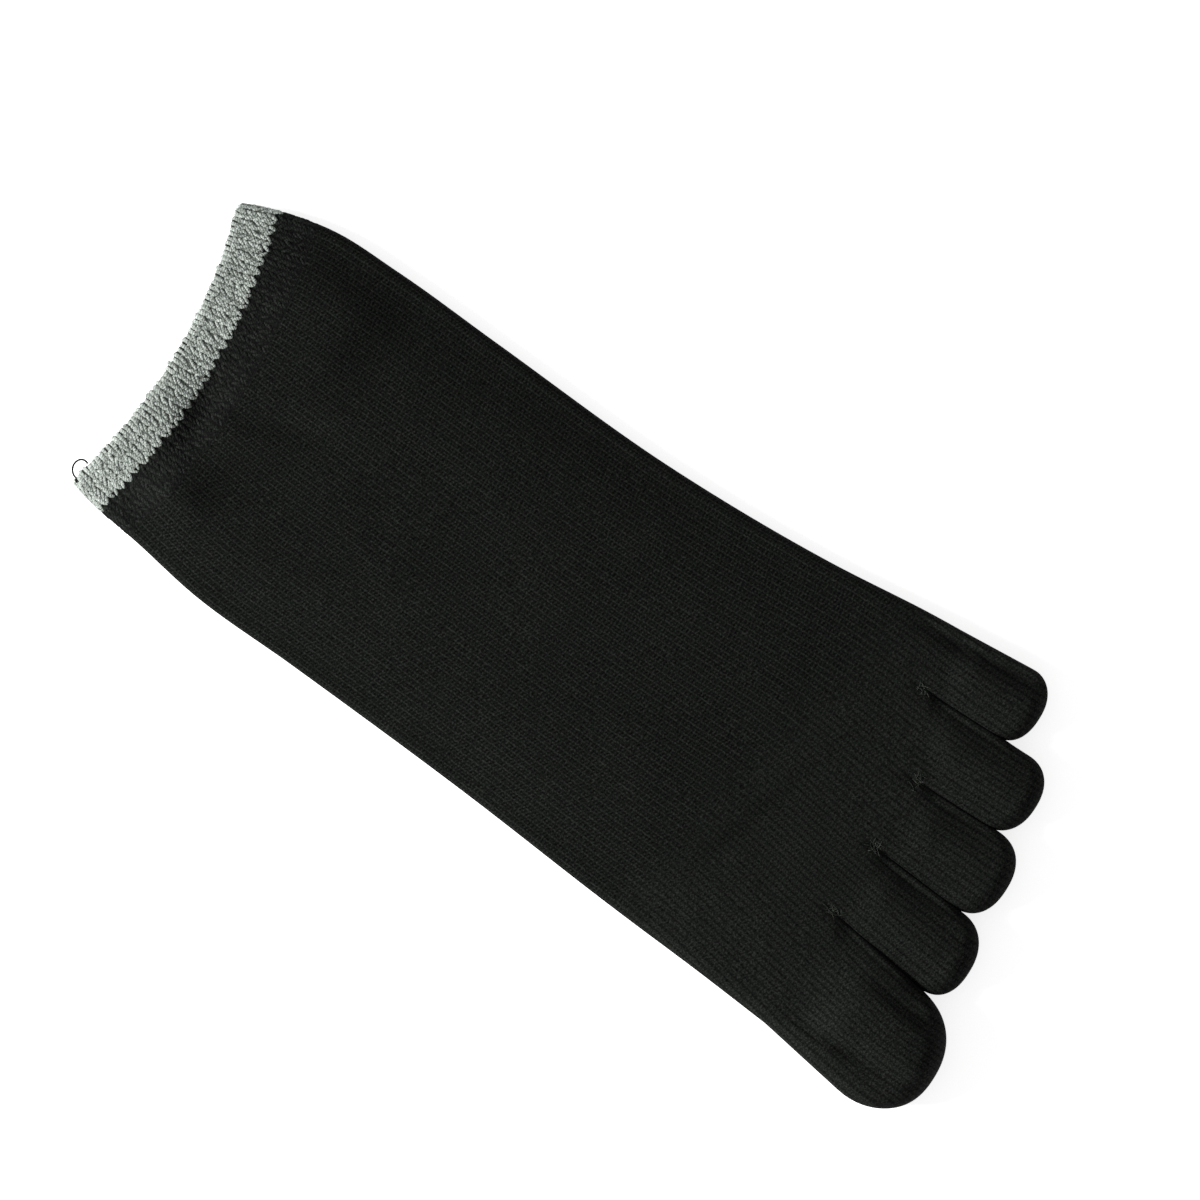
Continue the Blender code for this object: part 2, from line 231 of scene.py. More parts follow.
# on its little-toe side each toe has a thin roll along its edge with a groove beside it, from the
# big toe to the little one, whose groove runs back over the foot
edgeGroove = dict(inside=[2.3, 2.3, 2.2, 2.2, 2.8], outer=[0.8, 0.8, 0.7, 0.7, 1.2], inner=[3.2, 1.8, 2.4, 2.4, 2.7],
                  depth=[0.30, 0.95, 0.75, 0.75, 2.20], middle=[-88.0, -88.0, -88.0, -86.0, -88.0],
                  length=[24.0, 24.0, 24.0, 24.0, 23.0])


def grooveDepth(points, right, k):
    # a bell curve across, wider on the inner side, and a flat-topped bell along
    across = (right - points[..., 0]) / mm - edgeGroove["inside"][k]
    across = across / np.where(across < 0, edgeGroove["outer"][k], edgeGroove["inner"][k])
    along = (points[..., 1] / mm - edgeGroove["middle"][k]) / edgeGroove["length"][k]
    upper = smoothStep((points[..., 2] / mm - 5.0) / 2.0)
    return edgeGroove["depth"][k] * mm * upper * np.exp(-across ** 2 - along ** 4)


def tubeGrid(share, angle, y, inset=0.0):
    # the section at each place y, with all columns keeping their share of the ring
    left, right = sideEdges(y)
    fold = readSections("fold", y)
    x = left + fold + share * (right - left - 2 * fold)
    points = sectionPoints(share, angle, y, left, right, fold, tubeTop(x, share, y, fold), inset)
    points[..., 2] -= grooveDepth(points, right, -1)
    return points


def gridNormals(points):
    # across the two directions of the grid, which closes on itself along the columns
    alongRows = np.gradient(points, axis=0)
    alongColumns = np.roll(points, -1, axis=1) - np.roll(points, 1, axis=1)
    normals = np.cross(alongRows, alongColumns)
    return normals / np.maximum(np.linalg.norm(normals, axis=-1, keepdims=True), 1e-12)


def waleGroove(wale):
    # 0 on the crest of a stitch column, 1 in the groove between two
    return 1.0 - np.abs(np.sin(np.pi * wale)) ** 0.6


def buildMesh(name, points, faces, uvs, tint=None):
    # faces is a list of index arrays (n, corners) and uvs holds (n, corners, 2) for each
    mesh = bpy.data.meshes.new(name)
    mesh.vertices.add(len(points))
    mesh.vertices.foreach_set("co", points.astype(np.float32).ravel())
    totals = np.concatenate([np.full(len(part), part.shape[1]) for part in faces])
    mesh.loops.add(int(totals.sum()))
    mesh.loops.foreach_set("vertex_index", np.concatenate([part.ravel() for part in faces]))
    mesh.polygons.add(len(totals))
    mesh.polygons.foreach_set("loop_start", np.concatenate([[0], np.cumsum(totals)[:-1]]))
    mesh.polygons.foreach_set("loop_total", totals)
    layer = mesh.uv_layers.new(name="knit")
    layer.data.foreach_set("uv", np.concatenate([part.reshape(-1) for part in uvs]).astype(np.float32))
    if tint is not None:
        tintLayer = mesh.attributes.new("tint", "FLOAT", "POINT")
        tintLayer.data.foreach_set("value", tint.astype(np.float32))
    mesh.update()
    mesh.validate()
    mesh.shade_smooth()
    mesh.set_sharp_from_angle(angle=np.radians(70.0))
    return mesh


def addPiece(mesh, material, nodes=()):
    piece = bpy.data.objects.new(mesh.name, mesh)
    bpy.context.scene.collection.objects.link(piece)
    mesh.materials.append(material)
    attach(piece, "root")
    if nodes:
        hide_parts(*nodes)
    return piece


def gridQuads(index, u, v):
    # quads of a grid that closes on itself along the columns, where u and v close too
    beside = np.roll(index, -1, axis=1)
    quads = np.stack([index[:-1], index[1:], beside[1:], beside[:-1]], axis=-1).reshape(-1, 4)
    nextU = np.roll(u, -1, axis=1)
    nextV = np.roll(v, -1, axis=1)
    corners = [(u[:-1], v[:-1]), (u[1:], v[1:]), (nextU[1:], nextV[1:]), (nextU[:-1], nextV[:-1])]
    uvs = np.stack([np.stack(corner, axis=-1) for corner in corners], axis=2)
    return quads, uvs.reshape(-1, 4, 2)


# materials

def hexColour(text):
    # sRGB hex to linear: the usual power curve with its straight foot
    value = np.array([int(text[k:k + 2], 16) for k in (1, 3, 5)]) / 255.0
    linear = np.where(value <= 0.04045, value / 12.92, ((value + 0.055) / 1.055) ** 2.4)
    return (*linear, 1.0)


def addNode(tree, kind, inputs=(), out=0, **settings):
    # an input is a value or another node's output, by its number or by its name
    node = tree.nodes.new("ShaderNode" + kind)
    for key, value in settings.items():
        setattr(node, key, value)
    for key, value in (inputs.items() if isinstance(inputs, dict) else enumerate(inputs)):
        if isinstance(value, bpy.types.NodeSocket):
            tree.links.new(value, node.inputs[key])
        else:
            node.inputs[key].default_value = value
    return node.outputs[out]


def startMaterial(name, settings):
    material = bpy.data.materials.new(name)
    material.use_nodes = True
    tree = material.node_tree
    shader = tree.nodes["Principled BSDF"]
    for key, value in settings.items():
        shader.inputs[key].default_value = value
    return material, tree, shader


def colourStops(tree, level, stops):
    # stops are pairs of a place on the ramp and an sRGB colour, from dark to light
    output = addNode(tree, "ValToRGB", [level])
    ramp = output.node.color_ramp
    for k, (position, colour) in enumerate(stops):
        element = ramp.elements[k] if k < 2 else ramp.elements.new(position)
        element.position = position
        element.color = hexColour(colour)
    return output


blackCotton = dict(
    stops=[(0.05, "#030303"), (1.00, "#333531"), (0.50, "#161816")],   # holes in painted shade, fibres in painted highlight, yarn
    line=0.08,                  # how much the column lines, the lines between and the legs show, in bump and in painted highlight and shade
    double=0.09,
    legs=0.075,
    wander=0.35,                # rows
    fibres=1.6,
    cloud=0.16,
    level=-0.46,
    bump=0.13,                  # mm
    roughness=0.9,
    specular=0.03,
)


def makeBlackKnit(look):
    # combed black cotton with elastic, knitted plain on a fine machine. It gives the eye a dull deep black with a
    # thin line on every stitch column and small slanted legs between, raised in the bump and carried into the colour
    # as painted highlight, with painted shade in the holes
    material, tree, shader = startMaterial("blackPlainKnitCotton", {
        "Roughness": look["roughness"], "Specular IOR Level": look["specular"], "IOR": 1.45})
    uv = addNode(tree, "UVMap", uv_map="knit")
    u = addNode(tree, "SeparateXYZ", [uv], 0)
    v = addNode(tree, "SeparateXYZ", [uv], 1)
    zone = addNode(tree, "Attribute", out="Fac", attribute_name="tint")
    place = addNode(tree, "TexCoord", out="Object")
    # across: a line on each column and a weaker one between two, raised in the bump and painted pale as a highlight
    turnU = addNode(tree, "Math", [u, 2 * np.pi], operation="MULTIPLY")
    halfTurnU = addNode(tree, "Math", [u, 4 * np.pi], operation="MULTIPLY")
    columnLine = addNode(tree, "Math", [turnU], operation="COSINE")
    doubleLine = addNode(tree, "Math", [halfTurnU], operation="COSINE")
    # along: the rows, straight and leaning back by a column a row, which add up to slanted legs
    # that fade out on the column's painted highlight. The rows wander a little
    wobble = addNode(tree, "TexNoise", {"Vector": place, "Scale": 400.0, "Detail": 1.0})
    row = addNode(tree, "Math", [wobble, look["wander"], v], operation="MULTIPLY_ADD")
    turnV = addNode(tree, "Math", [row, 2 * np.pi], operation="MULTIPLY")
    leaning = addNode(tree, "Math", [turnV, turnU], operation="SUBTRACT")
    straightRow = addNode(tree, "Math", [turnV], operation="SINE")
    leaningRow = addNode(tree, "Math", [leaning], operation="SINE")
    legs = addNode(tree, "Math", [straightRow, leaningRow], operation="SUBTRACT")
    lineShare = addNode(tree, "Math", [zone, 0.01, look["line"]], operation="MULTIPLY_ADD")
    legShare = addNode(tree, "Math", [zone, -0.03, look["legs"]], operation="MULTIPLY_ADD")
    height = addNode(tree, "Math", [columnLine, lineShare], operation="MULTIPLY")
    doubleShare = addNode(tree, "Math", [zone, -0.135, look["double"]], operation="MULTIPLY_ADD")
    height = addNode(tree, "Math", [doubleLine, doubleShare, height], operation="MULTIPLY_ADD")
    height = addNode(tree, "Math", [legs, legShare, height], operation="MULTIPLY_ADD")
    fibres = addNode(tree, "TexNoise", {"Vector": place, "Scale": 2400.0, "Detail": 2.0, "Roughness": 0.7})
    cloud = addNode(tree, "TexNoise", {"Vector": place, "Scale": 60.0, "Detail": 4.0, "Roughness": 0.6})
    shade = addNode(tree, "Math", [fibres, look["fibres"], look["level"]], operation="MULTIPLY_ADD")
    shade = addNode(tree, "Math", [cloud, look["cloud"], shade], operation="MULTIPLY_ADD")
    shade = addNode(tree, "Math", [zone, 0.07, shade], operation="MULTIPLY_ADD")
    # the stitch relief's height is painted into the colour too: painted highlight on the column lines and legs,
    # painted shade in the holes
    level = addNode(tree, "Math", [height, 1.0, shade], operation="MULTIPLY_ADD")
    tree.links.new(colourStops(tree, level, look["stops"]), shader.inputs["Base Color"])
    bumpHeight = addNode(tree, "Math", [fibres, 0.4, height], operation="MULTIPLY_ADD")
    bump = addNode(tree, "Bump", {"Strength": 0.8, "Distance": look["bump"] * mm, "Height": bumpHeight})
    tree.links.new(bump, shader.inputs["Normal"])
    return material


def makeYarn(name, look):
    # spun yarn: plies that twist round the strand, heathered with darker and lighter fibres
    material, tree, shader = startMaterial(name, {
        "Roughness": look["roughness"], "Specular IOR Level": look["specular"],
        "Sheen Weight": look["sheen"], "Sheen Roughness": 0.5, "IOR": 1.45})
    uv = addNode(tree, "UVMap", uv_map="knit")
    along = addNode(tree, "SeparateXYZ", [uv], 0)
    around = addNode(tree, "SeparateXYZ", [uv], 1)
    tint = addNode(tree, "Attribute", out="Fac", attribute_name="tint")
    place = addNode(tree, "TexCoord", out="Object")
    twist = addNode(tree, "Math", [along, look["plies"], around], operation="MULTIPLY_ADD")
    turn = addNode(tree, "Math", [twist, 2 * np.pi], operation="MULTIPLY")
    wave = addNode(tree, "Math", [turn], operation="SINE")
    ply = addNode(tree, "Math", [wave, 0.5, 0.5], operation="MULTIPLY_ADD")
    fleck = addNode(tree, "TexNoise", {"Vector": place, "Scale": look["fleckScale"], "Detail": 4.0,
                                       "Roughness": 0.7})
    # the tint attribute gives each strand its own tone; on the band backings it is low, which paints them darker as
    # painted shade
    level = addNode(tree, "Math", [tint, look["tint"], look["base"]], operation="MULTIPLY_ADD")
    level = addNode(tree, "Math", [fleck, look["fleck"], level], operation="MULTIPLY_ADD")
    level = addNode(tree, "Math", [ply, look["plyShade"], level], operation="MULTIPLY_ADD")
    tree.links.new(colourStops(tree, level, look["stops"]), shader.inputs["Base Color"])
    bumpHeight = addNode(tree, "Math", [fleck, 0.6, ply], operation="MULTIPLY_ADD")
    bump = addNode(tree, "Bump", {"Strength": 0.7, "Distance": look["bump"] * mm, "Height": bumpHeight})
    tree.links.new(bump, shader.inputs["Normal"])
    return material


greyYarnLook = dict(stops=[(0.10, "#3f433d"), (1.00, "#e2e8e2"), (0.55, "#a6ada7")],
                    base=-0.525, fleck=1.65, tint=0.18, plyShade=0.08, plies=5.0, fleckScale=2600.0,
                    roughness=0.9, specular=0.1, sheen=0.05, bump=0.10)
blackYarnLook = dict(stops=[(0.10, "#080808"), (1.00, "#363835"), (0.55, "#1e201e")],
                     base=-0.25, fleck=1.15, tint=0.24, plyShade=0.14, plies=5.0, fleckScale=1700.0,
                     roughness=0.9, specular=0.03, sheen=0.0, bump=0.08)
tuftLook = dict(blackYarnLook, stops=[(0.10, "#1b1d1a"), (1.00, "#62675f"), (0.55, "#3b3f39")])

blackKnit = makeBlackKnit(blackCotton)
greyYarn = makeYarn("greyHeatherCottonYarn", greyYarnLook)
blackYarn = makeYarn("blackElasticRibYarn", blackYarnLook)
tuftYarn = makeYarn("blackCottonTuftYarn", tuftLook)
print("materials made")


# the foot tube

def shellMesh(name, outer, inner, u, vOuter, vInner, tint):
    # outer rows, then inner rows on the way back, closed end to end
    index = np.arange((len(outer) + len(inner)) * outer.shape[1]).reshape(-1, outer.shape[1])
    index = np.concatenate([index, index[:1]])
    v = np.concatenate([vOuter, vInner, vOuter[:1]])
    quads, uvs = gridQuads(index, np.broadcast_to(u, v.shape), v)
    return buildMesh(name, np.concatenate([outer, inner]).reshape(-1, 3), [quads], [uvs], tint.reshape(-1))


def midColumns(count, y):
    # columns at equal steps round the ring of the section at y
    left, right = sideEdges(y)
    fold = readSections("fold", y)
    return loopColumns(count, right - left - 2 * fold, fold)


def settleOnRoot(gridAt, columns):
    # places y at which the columns meet the root line, found by going back and forth
    y = np.full(columns, crotchY)
    for step in range(8):
        y = rootLine(gridAt(y[None, :])[0, :, 0])
    return y


def toeZone(x, y):
    # 0 on the foot and 1 past the line on which the knit turns coarser, over 16 mm
    return smoothStep((-45.0 - y / mm - 0.18 * x / mm) / 16.0)


def columnDrift(y):
    # over the ball of the foot the stitch columns lean towards the big toe, by a smooth step
    return 3.4 * smoothStep((-40.0 - y / mm) / 58.0)


ringShare, ringAngle = midColumns(tube["wales"] * tube["waleColumns"], 0.0)
ringWale = np.arange(len(ringShare)) / tube["waleColumns"]
ringWale = np.minimum(ringWale, tube["wales"] - ringWale)     # the sole counts back to the start


def footTube():
    # rows run from under the elastic rib to the crotches, each a share of the way down its column
    first = rimLine(ringShare) - (tube["cuffLength"] + tube["ribLength"]) * mm
    last = settleOnRoot(lambda y: tubeGrid(ringShare, ringAngle, y), len(ringShare))
    part = 1.0 - (1.0 - np.linspace(0.0, 1.0, tube["rows"])[:, None]) ** 1.3
    y = first + (last - first) * part
    outer = tubeGrid(ringShare, ringAngle, y)
    zone = toeZone(outer[..., 0], y)
    depth = (tube["waleDepth"] + (tube["toeWaleDepth"] - tube["waleDepth"]) * zone) * mm
    grooves = depth * waleGroove(ringWale) * smoothStep(part * 30.0)
    outer = outer - gridNormals(outer) * grooves[..., None]
    back = np.linspace(1.0, 0.0, tube["innerRows"])[:, None]
    innerY = first + (last - first) * back
    inner = tubeGrid(ringShare, ringAngle, innerY, tube["wall"] * mm)
    tint = np.concatenate([zone, toeZone(inner[..., 0], innerY)])
    v = (y[:1] - y) / (tube["course"] * mm)
    u = ringWale + columnDrift(np.concatenate([y, innerY, y[:1]]))
    mesh = shellMesh("footKnit", outer, inner, u, v, (y[:1] - innerY) / (tube["course"] * mm), tint)
    return addPiece(mesh, blackKnit, ["foot_tube"])


footTube()
print("foot tube made")


# the toes, from the big one to the little one
toes = dict(
    node=["big_toe", "second_toe", "middle_toe", "fourth_toe", "little_toe"],
    reach=[42.95, 36.2, 32.95, 28.1, 16.97],
    height=[10.8, 9.5, 9.4, 9.3, 9.1],
    cap=[0.56, 0.42, 0.42, 0.42, 0.40],
    lean=[0.05, 0.0, 0.0, 0.0, -0.03],
    crown=[0.8, 1.0, 1.0, 1.0, 0.8],
    gap=-0.25,              # neighbours press on each other a little at the tips
    press=-0.7,             # and more behind the place where they part
    pressRun=8.0,
    creaseLeft=[0.0, 0.9, 0.9, 1.1, 1.1],      # how deep the sheets fall to the lines between toes
    creaseRight=[1.1, 1.1, 1.4, 1.5, 0.0],
    merge=[18.0, 9.0, 9.0, 9.0, 9.0],   # mm over which a toe grows out of the tube's own surface
    creaseMerge=6.0,        # and its inner sides
    capPower=2.3,
    sideColumns=16,
    rows=46,
    innerRows=12,
)


def pressShare(k, y):
    # 0 where neighbours part at line k, 1 from a run behind it
    return smoothStep((y - lineStart(k)[1] + toeLines["parting"] * mm) / (toes["pressRun"] * mm))


def toeSides(k, y):
    # the lines on both sides, which the outer two toes end on and the others reach over
    last = len(toes["node"]) - 1
    left, right = toeLineX(k, y), toeLineX(k + 1, y)
    if k > 0:
        left = left + (toes["gap"] + (toes["press"] - toes["gap"]) * pressShare(k, y)) / 2 * mm
    if k < last:
        right = right - (toes["gap"] + (toes["press"] - toes["gap"]) * pressShare(k + 1, y)) / 2 * mm
    return left, right


def creaseLift(k, share, angle, y, fold):
    # where toes lie side by side their sheets meet in a shallow crease: a hyperbolic tangent of the
    # round side's fall, while the part below the meeting line stays round
    last = len(toes["node"]) - 1
    lift = 0.0 * fold + 0.0 * angle
    fall = fold * (1.0 - np.sin(angle))
    for side, depth, there in ((k, toes["creaseLeft"][k], share < 0.5), (k + 1, toes["creaseRight"][k], share > 0.5)):
        if depth > 0:
            bent = fall - depth * mm * np.tanh(fall / (depth * mm))
            lift = lift + np.where(there & (angle > 0), bent * pressShare(side, y), 0.0)
    return lift * smoothStep(angle / np.radians(40.0))


def toeColumns(k):
    # over the top a toe carries on the tube's own columns; down each inner side it adds a quarter
    # round of its own, and the sole mirrors the top
    half = len(ringShare) // 2 + 1
    last = len(toes["node"]) - 1
    roots = settleOnRoot(lambda y: tubeGrid(ringShare, ringAngle, y), len(ringShare))[:half]
    x = tubeGrid(ringShare[:half], ringAngle[:half], roots[None, :])[0, :, 0]
    fold = readSections("fold", roots)
    left, right = toeSides(k, roots)
    s = (x - left - fold) / (right - left - 2 * fold)
    onSheet = (ringAngle[:half] > np.pi / 2 - 1e-9) & (s > 0.002) & (s < 0.998)
    share, wale = s[onSheet], ringWale[:half][onSheet]
    angle = np.full(len(share), np.pi / 2)
    steps = np.arange(toes["sideColumns"]) / toes["sideColumns"]
    quarter = np.pi / 2 * tube["fold"][0] / tube["pitch"]
    perShare = (wale[-1] - wale[0]) / (share[-1] - share[0])
    leftWale = wale[0] - share[0] * perShare - quarter * (1 - steps)
    rightWale = wale[-1] + (1 - share[-1]) * perShare + quarter * (1 - steps[::-1])
    leftAngle, rightAngle = steps * np.pi / 2, steps[::-1] * np.pi / 2
    if k == 0:
        own = (ringShare[:half] == 0) & (ringAngle[:half] < np.pi / 2 - 1e-9)
        leftAngle, leftWale = ringAngle[:half][own], ringWale[:half][own]
    if k == last:
        own = (ringShare[:half] == 1) & (ringAngle[:half] < np.pi / 2 - 1e-9)
        rightAngle, rightWale = ringAngle[:half][own], ringWale[:half][own]
    share = np.concatenate([0 * leftAngle, share, 0 * rightAngle + 1])
    angle = np.concatenate([leftAngle, angle, rightAngle])
    wale = np.concatenate([leftWale, wale, rightWale])
    share = np.concatenate([share, share[-2:0:-1]])
    angle = np.concatenate([angle, -angle[-2:0:-1]])
    wale = np.concatenate([wale, wale[-2:0:-1]])
    return share, angle, wale


def toeGrid(k, share, angle, start, part, inset=0.0):
    # straight stitch columns that end on the outline of the tip, a squared ellipse. The thickness
    # follows a quarter circle down at each column's end, which rounds the tip like a pillow
    height = toes["height"][k] / 2 * mm
    tipY = crotchY - toes["reach"][k] * mm
    leftTip, rightTip = toeSides(k, tipY)
    full = rightTip - leftTip
    cap = toes["cap"][k] * full
    flat = full - 2 * height
    side = np.where(share < 0.5, -1.0, 1.0)
    onSheet = np.abs(angle) > np.pi / 2 - 1e-9
    across = np.where(onSheet, (share - 0.5) * flat, side * (flat / 2 + height * np.cos(angle)))
    across = np.clip(np.abs(across) / (full / 2), 0.0, 1.0)
    end = tipY + cap * (1.0 - (1.0 - across ** toes["capPower"]) ** (1 / toes["capPower"])) + inset
    run = start - end
    bend = np.minimum(height / run, 0.45)
    bent = np.clip((part - (1 - bend)) / bend, 0.0, 1.0) * np.pi / 2
    y = start - run * np.where(part < 1 - bend, part, 1 - bend + bend * np.sin(bent))
    thin = np.cos(bent)
    filled = smoothStep((start - y) / (toes["merge"][k] * mm))
    left, right = toeSides(k, y)
    lean = toes["lean"][k] * full * smoothStep(1.0 - (y - tipY) / cap)
    left = left + lean
    right = right + lean
    rootFold = readSections("fold", y)
    fold = rootFold + (height - rootFold) * filled
    x = left + fold + share * (right - left - 2 * fold)
    fade = smoothStep(5.5 * share * (1.0 - share))
    pillow = (1.0 - np.clip(np.abs(2.0 * share - 1.0), 0.0, 1.0) ** 2.5) ** 1.5
    top = toes["crown"][k] * mm * pillow + (swellHeight(x, y) + slackHeight(x, y)) * fade
    points = sectionPoints(share, angle, y, left, right, fold, top, inset)
    points[..., 2] += creaseLift(k, share, angle, y, fold)
    # near its root a toe's upper half follows the tube's surface and its lower half the floor
    bodyLeft, bodyRight = sideEdges(y)
    bodyShare = (points[..., 0] - bodyLeft - rootFold) / (bodyRight - bodyLeft - 2 * rootFold)
    bodyShare = np.clip(bodyShare, 0.0, 1.0)
    bodyTop = 2 * rootFold + tubeTop(points[..., 0], bodyShare, y, rootFold) - inset
    last = len(toes["node"]) - 1
    inward = np.where(share < 0.5, k > 0, k < last)
    goal = np.where(angle > 0, bodyTop, inset)
    sunk = smoothStep((start - y) / (toes["creaseMerge"] * mm))
    follows = np.where(onSheet, 1.0 - filled, np.where(inward & (np.abs(angle) > 1e-6), 1.0 - sunk, 0.0))
    points[..., 2] += (goal - points[..., 2]) * follows
    begun = 1.0 if k == last else smoothStep((start - y) / (11.0 * mm))
    points[..., 2] -= grooveDepth(points, right, k) * begun
    points[..., 2] = fold + (points[..., 2] - fold) * thin + (height - fold) * (1.0 - thin)
    return points


def toePocket(k):
    share, angle, wale = toeColumns(k)
    columns = len(share)
    start = settleOnRoot(lambda y: toeGrid(k, share, angle, y, np.zeros((1, columns))), columns)
    part = np.linspace(0.0, 1.0, toes["rows"])[:, None] + np.zeros(columns)
    outer = toeGrid(k, share, angle, start, part)
    grooves = tube["toeWaleDepth"] * mm * waleGroove(wale) * smoothStep((1.0 - part) * 12.0)
    outer = outer - gridNormals(outer) * grooves[..., None]
    back = np.linspace(1.0, 0.0, toes["innerRows"])[:, None] + np.zeros(columns)
    inner = toeGrid(k, share, angle, start, back, tube["wall"] * mm)
    # the tip closes like a purse: there the sole's columns share the points of the top's columns
    mirror = (columns - np.arange(columns)) % columns
    top = np.arange(columns) <= columns // 2
    rows = np.concatenate([outer, inner])
    index = np.arange(len(rows) * columns).reshape(-1, columns)
    for row in (len(outer) - 1, len(outer)):
        index[row] = np.where(top, index[row], index[row][mirror])
    v = (cadHigh.y - rows[..., 1]) / (tube["course"] * mm)
    u = wale + columnDrift(rows[..., 1])
    parts = [gridQuads(index[:len(outer)], u[:len(outer)], v[:len(outer)]),
             gridQuads(index[len(outer):], u[len(outer):], v[len(outer):]),
             gridQuads(index[[-1, 0]], u[[-1, 0]], v[[-1, 0]])]
    used, number = np.unique(np.concatenate([quads.ravel() for quads, uvs in parts]), return_inverse=True)
    faces = np.split(number.reshape(-1, 4), np.cumsum([len(quads) for quads, uvs in parts])[:-1])
    points = rows.reshape(-1, 3)[used]
    name = toes["node"][k].replace("_toe", "ToeKnit")
    mesh = buildMesh(name, points, faces, [uvs for quads, uvs in parts], np.ones(len(points)))
    return addPiece(mesh, blackKnit, [toes["node"][k]])


for toeNumber in range(len(toes["node"])):
    toePocket(toeNumber)
print("toes made")


# the two bands and their thick stitches
bands = dict(
    chains=64,              # thick stitch chains round the welt, two columns of the foot each
    wall=1.8,
    columns=512,
    rows=26,
    span=24.0,
    surfaceRows=97,
)
bandShare, bandAngle = midColumns(bands["columns"], cadHigh.y - 8 * mm)


def bandGrid(fromRim, inset=0.0):
    # the section's ring carried along the rim line, at the distances fromRim behind it
    return tubeGrid(bandShare, bandAngle, rimLine(bandShare) - fromRim[:, None], inset)


bandRows = np.linspace(0.0, bands["span"], bands["surfaceRows"]) * mm
bandPoints = bandGrid(bandRows)
bandNormals = gridNormals(bandPoints)


def onBand(chain, fromRim, lift):
    # a straight reading between the four nearest points of the bands' outer side: chain counts
    # stitch chains round the band and lift is the height over the surface
    column = (chain / bands["chains"] * bands["columns"]) % bands["columns"]
    row = np.clip(fromRim / bandRows[1], 0.0, len(bandRows) - 1.001)
    c = np.floor(column).astype(int)
    r = np.floor(row).astype(int)
    columnPart = (column - c)[..., None]
    rowPart = (row - r)[..., None]
    c = c % bands["columns"]
    d = (c + 1) % bands["columns"]
    spot, normal = [(grid[r, c] * (1 - columnPart) + grid[r, d] * columnPart) * (1 - rowPart)
                    + (grid[r + 1, c] * (1 - columnPart) + grid[r + 1, d] * columnPart) * rowPart
                    for grid in (bandPoints, bandNormals)]
    normal = normal / np.linalg.norm(normal, axis=-1, keepdims=True)
    return spot + normal * lift[..., None], normal


def yarnMesh(name, paths, ups, wide, thick, tint, sides=6, closed=False):
    # many strands at once: an ellipse of half sizes wide and thick carried along each path.
    # paths is (strands, steps, 3) and ups the direction that thick follows
    strands, steps = paths.shape[:2]
    if closed:
        ahead = np.roll(paths, -1, axis=1) - np.roll(paths, 1, axis=1)
    else:
        ahead = np.gradient(paths, axis=1)
    ahead = ahead / np.linalg.norm(ahead, axis=-1, keepdims=True)
    across = np.cross(ahead, ups)
    across = across / np.linalg.norm(across, axis=-1, keepdims=True)
    up = np.cross(across, ahead)
    turn = np.arange(sides) / sides * 2 * np.pi
    ring = (across[:, :, None] * (wide[:, :, None] * np.cos(turn))[..., None]
            + up[:, :, None] * (thick[:, :, None] * np.sin(turn))[..., None])
    points = (paths[:, :, None] + ring).reshape(-1, 3)
    index = np.arange(strands * steps * sides).reshape(strands, steps, sides)
    caps = np.concatenate([index[:, 0, ::-1], index[:, -1]])
    length = np.linalg.norm(np.diff(paths, axis=1), axis=-1)
    length = np.concatenate([np.zeros((strands, 1)), np.cumsum(length, axis=1)], axis=1) / (3 * mm)
    if closed:
        index = np.concatenate([index, index[:, :1]], axis=1)
        length = np.concatenate([length, length[:, -1:] + length[:, 1:2]], axis=1)
    beside = np.roll(index, -1, axis=2)
    quads = np.stack([index[:, :-1], beside[:, :-1], beside[:, 1:], index[:, 1:]], axis=-1).reshape(-1, 4)
    u = length[:, :, None] + np.zeros(sides)
    v = np.arange(sides) / sides + np.zeros(index.shape)
    corners = [(u[:, :-1], v[:, :-1]), (u[:, :-1], v[:, :-1] + 1 / sides),
               (u[:, 1:], v[:, 1:] + 1 / sides), (u[:, 1:], v[:, 1:])]
    uvs = np.stack([np.stack(corner, axis=-1) for corner in corners], axis=3).reshape(-1, 4, 2)
    tints = np.repeat(tint, steps * sides)
    if closed:
        return buildMesh(name, points, [quads], [uvs], tints)
    return buildMesh(name, points, [quads, caps], [uvs, np.zeros((len(caps), sides, 2))], tints)


def bandBacking(name, start, end, material, node, depth, roundRim):
    # the band behind its thick stitches: outer side, inner side and a rim in one closed ring
    fromRim = np.linspace(start, end, bands["rows"]) * mm
    outer = bandGrid(fromRim)
    wale = np.arange(bands["columns"]) / bands["columns"] * bands["chains"]
    level = smoothStep((end * mm - fromRim) / (2.0 * mm))
    outer = outer - gridNormals(outer) * (depth * mm * level[:, None] * waleGroove(wale))[..., None]
    wall = bands["wall"] * mm
    rows = [bandGrid(fromRim[::-1], wall)]
    for turn in np.radians([150.0, 110.0, 70.0, 30.0] if roundRim else []):
        # a half circle of the wall's thickness carries the inner side over to the outer side
        ring = bandGrid(fromRim[:1], wall / 2 * (1 - np.cos(turn)))
        ring[..., 1] += wall / 2 * np.sin(turn)
        rows.append(ring)
    rows = np.concatenate(rows)
    v = np.arange(len(outer))[:, None] + 0 * wale
    vRows = np.arange(len(rows))[::-1][:, None] + 0 * wale
    # the backing is painted darker than its thick stitches: painted shade in the gaps between them
    tint = np.full((len(outer) + len(rows), bands["columns"]), -0.5)
    mesh = shellMesh(name, outer, rows, wale, v, vRows, tint)
    return addPiece(mesh, material, [node])


